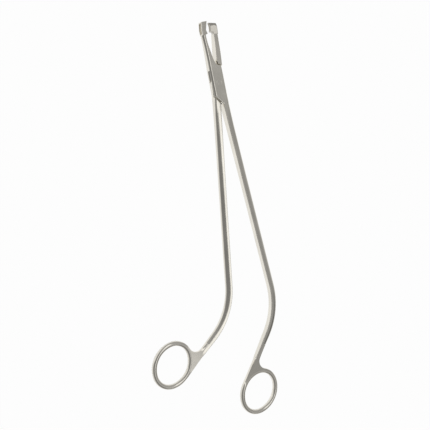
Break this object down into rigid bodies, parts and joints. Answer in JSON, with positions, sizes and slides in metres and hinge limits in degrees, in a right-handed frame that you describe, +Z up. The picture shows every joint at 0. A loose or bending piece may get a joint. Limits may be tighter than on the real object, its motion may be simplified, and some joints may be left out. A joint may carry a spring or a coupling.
{
  "type": "cervical biopsy punch forceps",
  "caption": "Long-shanked surgical biopsy punch forceps with a box lock, punch-and-die jaws and angled finger-ring handles.",
  "frame": {"origin": "on the pivot's axis, in the flat underside of the box lock", "axes": "+Y along the female half to the jaws, +X towards the female half's shank, +Z up along the pivot"},
  "size_m": [0.1003, 0.2505, 0.006],
  "materials": {
    "female_half": "satin",
    "die_jaw": "satin",
    "male_half": "satin",
    "punch_jaw": "satin",
    "pivot_pin": "satin"
  },
  "bodies": {
    "female": {"female_half": "female_half", "die_jaw": "die_jaw", "pivot_pin": "pivot_pin"},
    "male": {"male_half": "male_half", "punch_jaw": "punch_jaw"}
  },
  "joints": [
    {"name": "box_lock_hinge", "type": "hinge", "parent": "female", "child": "male", "pos_m": [0, 0, 0.003], "axis": [0, 0, 1], "range_deg": [-18, 6]}
  ]
}
